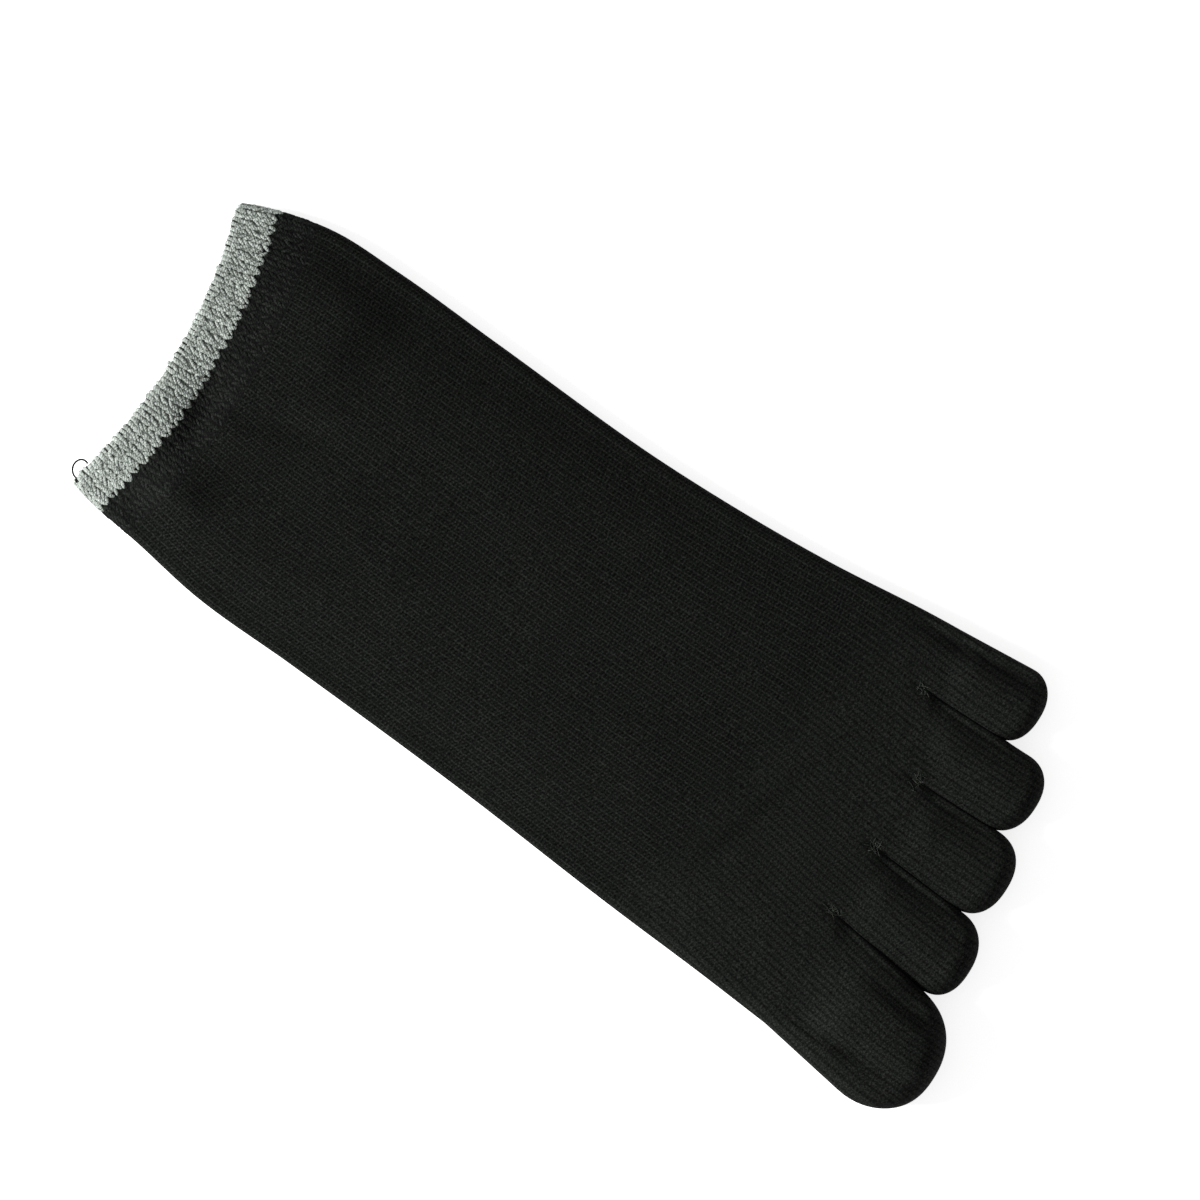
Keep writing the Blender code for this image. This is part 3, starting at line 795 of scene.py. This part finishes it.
def vStitches(name, yarn, material):
    # every stitch is a V whose two legs lean out from its point on the toe side. A leg runs in an
    # arch, its ends pressed into the band, and each row covers the ends of the one before it
    chance = np.random.default_rng(yarn["seed"])
    row, chain, side = [part.ravel() for part in np.meshgrid(
        np.arange(yarn["rows"]), np.arange(bands["chains"]), [-1.0, 1.0], indexing="ij")]
    t = np.linspace(0.0, 1.0, 8)[None, :]
    jitter = chance.normal(0.0, 1.0, (len(row), 5))
    point = (yarn["first"] + row * yarn["step"] + yarn["loose"] * jitter[:, 0])[:, None]
    fromRim = (point - yarn["length"] * t) * mm
    spread = yarn["inner"] + (yarn["outer"] - yarn["inner"]) * t ** 0.9
    around = (chain + 0.5)[:, None] + side[:, None] * spread * (1 + 1.2 * yarn["loose"] * jitter[:, 4:5])
    around = around + 0.3 * yarn["loose"] * jitter[:, 1:2]
    lift = yarn["lift"] * (1 + 0.25 * jitter[:, 3:4]) * np.sin(np.pi * (0.06 + 0.88 * t))
    lift = (lift - yarn["sunk"] - 0.2 * yarn["fade"] * (row / yarn["rows"])[:, None]) * mm
    path, up = onBand(around, np.maximum(fromRim, 0.0), lift)
    swell = np.sin(np.pi * (0.1 + 0.82 * t)) ** 0.5 * (1 + 0.08 * jitter[:, 2:3])
    tint = chance.uniform(0.0, 1.0, len(row))
    mesh = yarnMesh(name, path, up, yarn["wide"] * mm * swell, yarn["thick"] * mm * swell, tint)
    return addPiece(mesh, material)


greyStitch = dict(first=3.1, rows=7, step=1.17, length=1.95, loose=0.17, inner=0.05, outer=0.42,
                  lift=0.17, sunk=0.06, wide=0.45, thick=0.30, seed=3, fade=0.0)
blackStitch = dict(first=11.6, rows=8, step=1.17, length=1.95, loose=0.12, inner=0.06, outer=0.42,
                   lift=0.12, sunk=0.12, wide=0.40, thick=0.20, seed=5, fade=0.6)

bandBacking("cuffBacking", bands["wall"] / 2, tube["greyEnd"], greyYarn, "cuff_band", 0.22, True)
bandBacking("ribBacking", tube["greyEnd"], tube["cuffLength"] + tube["ribLength"], blackYarn,
            "rib_band", 0.12, False)
vStitches("ribStitches", blackStitch, blackYarn)
vStitches("cuffStitches", greyStitch, greyYarn)


def overRim(around, fromRim, lift, turn, reach):
    # a path on the band that runs on round the rim: a half circle of the wall's thickness down
    path, up = onBand(around, fromRim + bands["wall"] / 2 * mm, lift)
    out = np.array([0.0, 1.0, 0.0])
    radius = bands["wall"] / 2 * mm
    path = path - up * (radius * (1 - np.cos(turn)))[..., None] + out * (reach * radius * np.sin(turn))[..., None]
    return path, up * np.cos(turn)[..., None] + out * np.sin(turn)[..., None]


def rimLoops():
    # the first round of the welt: short loops that lie over the rim side by side, two for a chain
    chance = np.random.default_rng(11)
    count = 2 * bands["chains"]
    t = np.linspace(0.0, 1.0, 12)[None, :]
    jitter = chance.normal(0.0, 1.0, (count, 4))
    inward = 0.03 * (1 - t) * np.where(np.arange(count) % 2, -1.0, 1.0)[:, None]
    slant = 0.06 * (0.5 - t) * jitter[:, 3:4]
    around = (np.arange(count) / 2 + 0.25)[:, None] + inward + slant + 0.03 * jitter[:, :1]
    fromRim = (1.5 * (1.0 - t / 0.45)).clip(0.0) * mm + 0 * around
    lift = (0.10 * np.sin(np.pi * np.clip(t / 0.5, 0, 1)) - 0.12) * mm + 0 * around
    turn = np.clip((t - 0.45) / 0.55, 0.0, 1.0) * np.pi * 0.8 + 0 * around
    path, lean = overRim(around, fromRim, lift, turn, 1.05 + 0.22 * jitter[:, 1:2])
    swell = (0.85 + 0.15 * np.sin(np.pi * t)) * (1 + 0.10 * jitter[:, 2:3]) * np.minimum(1.0, 8 * t + 0.5)
    tint = chance.uniform(0.2, 0.9, count)
    mesh = yarnMesh("rimLoops", path, lean, 0.62 * mm * swell, 0.36 * mm * swell, tint)
    return addPiece(mesh, greyYarn)


def rimThread():
    # the dark thread that starts the welt shows in the notches between the rim's loops, as short
    # pieces that run over the rim
    chance = np.random.default_rng(17)
    count = 2 * bands["chains"]
    t = np.linspace(0.0, 1.0, 7)[None, :]
    jitter = chance.normal(0.0, 1.0, (count, 3))
    around = (np.arange(count) / 2)[:, None] + 0.03 * jitter[:, :1] + 0.06 * (t - 0.5) * jitter[:, 1:2]
    fromRim = (0.35 * (1.0 - t / 0.3)).clip(0.0) * mm + 0 * around
    turn = np.clip((t - 0.3) / 0.7, 0.0, 1.0) * np.pi * 0.75 + 0 * around
    path, lean = overRim(around, fromRim, 0.02 * mm + 0 * around, turn, 1.1)
    size = (0.16 + 0.05 * jitter[:, 2:3].clip(-1.8, 1.5)) * mm * np.sin(np.pi * (0.15 + 0.7 * t)) ** 0.5
    shown = chance.uniform(0.0, 1.0, count) < 0.6
    mesh = yarnMesh("rimThread", path[shown], lean[shown], size[shown], size[shown], chance.uniform(0.5, 2.0, shown.sum()))
    return addPiece(mesh, blackYarn)


rimLoops()


def cornerLoop():
    # the loose end of that thread: an arc of an ellipse that stands out past the rim's corner and
    # comes down to the table, then a knot of small turns against the welt
    t = np.linspace(0.0, 1.0, 40)
    angle = np.radians(-25.0 + 235.0 * t)
    arc = np.stack([-28.3 + 2.45 * np.cos(angle), 130.1 + 2.3 * np.sin(angle) - 1.1 * t,
                    4.6 - 3.6 * np.sin(np.pi * t) ** 0.7], axis=1)
    turns = np.linspace(0.0, 3.0, 40) * 2 * np.pi
    knot = np.stack([-30.9 + 0.55 * np.cos(turns), 128.2 + 0.6 * np.sin(turns) + 0.04 * turns,
                     4.7 + 0.25 * np.sin(1.7 * turns)], axis=1)
    paths = np.stack([arc, knot]) * mm
    ups = np.broadcast_to([0.0, 0.0, 1.0], paths.shape)
    size = np.full(paths.shape[:2], 0.24 * mm)
    mesh = yarnMesh("cornerLoop", paths, ups, size, size, np.array([0.6, 0.4]))
    return addPiece(mesh, blackYarn)


rimThread()
cornerLoop()
print("bands made")


def crotchTufts():
    # where two toes part, a few cut ends of the closing yarn: short arcs that cross the crotch
    look = dict(count=15, length=(1.0, 3.4), arch=0.4, size=0.08, spread=0.65, behind=0.7)
    chance = np.random.default_rng(23)
    places = np.array([lineStart(k) for k in range(1, len(toeLines["root"]) - 1)])
    places = np.repeat(places, look["count"], axis=0)
    places = places + chance.normal(0.0, look["spread"] * mm, places.shape) + [0.0, look["behind"] * mm]
    strands = len(places)
    t = np.linspace(-0.5, 0.5, 9)[None, :]
    heading = chance.normal(1.2, 0.7, strands)[:, None]
    length = chance.uniform(*look["length"], strands)[:, None] * mm
    bend = chance.normal(0.0, 0.35, strands)[:, None] * length * (t * t - 0.08)
    x = places[:, :1] + length * t * np.cos(heading) - bend * np.sin(heading)
    y = places[:, 1:] + length * t * np.sin(heading) + bend * np.cos(heading)
    left, right = sideEdges(y)
    fold = readSections("fold", y)
    share = (x - left - fold) / (right - left - 2 * fold)
    top = 2 * fold + tubeTop(x, share, y, fold)
    z = top + (look["arch"] * (1 - 4 * t * t) - 0.05) * mm * chance.uniform(0.3, 1.0, strands)[:, None]
    paths = np.stack([x, y, z], axis=-1)
    ups = np.broadcast_to([0.0, 0.0, 1.0], paths.shape)
    size = look["size"] * mm * (1 - 0.5 * (2 * t) ** 4) + 0 * x
    mesh = yarnMesh("crotchTufts", paths, ups, size, size, chance.uniform(0.0, 1.0, strands), sides=5)
    return addPiece(mesh, tuftYarn)


crotchTufts()
print("tufts made")


# floor, light and camera

def photoCamera():
    # straight down; photo rows run 57.5 degrees off the row frame and the frame is 300 mm wide
    view = dict(turn=-57.5, middle=(13.9, 2.75), width=300.0, distance=5.0)
    data = bpy.data.cameras.new("photoCamera")
    data.sensor_width = 36.0
    data.lens = 36.0 * view["distance"] / (view["width"] * mm)
    camera = bpy.data.objects.new("photoCamera", data)
    camera.location = (view["middle"][0] * mm, view["middle"][1] * mm, view["distance"])
    camera.rotation_euler = (0.0, 0.0, np.radians(view["turn"]))
    bpy.context.scene.collection.objects.link(camera)
    bpy.context.scene.camera = camera


def addLight(name, place, size, power):
    # a square soft light that looks at the middle of the sock
    data = bpy.data.lights.new(name, "AREA")
    data.size = size
    data.energy = power
    light = bpy.data.objects.new(name, data)
    light.location = place
    direction = -light.location.normalized()
    light.rotation_euler = direction.to_track_quat("-Z", "Y").to_euler()
    bpy.context.scene.collection.objects.link(light)


def studio():
    floorMaterial, tree, shader = startMaterial("paleBacklitTable", {
        "Base Color": hexColour("#f4f4f4"), "Roughness": 0.9, "Specular IOR Level": 0.1,
        "Emission Color": (1.0, 1.0, 1.0, 1.0), "Emission Strength": 0.75})
    mesh = bpy.data.meshes.new("floor")
    # the table lies just under the lowest stitches of the sole side
    reach, level = 2.5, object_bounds()[0].z - 0.05 * mm
    corners = [(-reach, -reach, level), (reach, -reach, level), (reach, reach, level), (-reach, reach, level)]
    mesh.from_pydata(corners, [], [(0, 1, 2, 3)])
    mesh.materials.append(floorMaterial)
    floor = bpy.data.objects.new("floor", mesh)
    bpy.context.scene.collection.objects.link(floor)
    world = bpy.data.worlds.new("softStudio")
    world.use_nodes = True
    background = world.node_tree.nodes["Background"]
    background.inputs[0].default_value = (1.0, 1.0, 1.0, 1.0)
    background.inputs[1].default_value = 0.30
    bpy.context.scene.world = world
    bpy.context.scene.view_settings.view_transform = "Standard"
    # the key comes low from the left of the photograph
    addLight("keyLight", (-0.74, 1.16, 0.73), 0.5, 42.0)


photoCamera()
studio()
print("stage set")
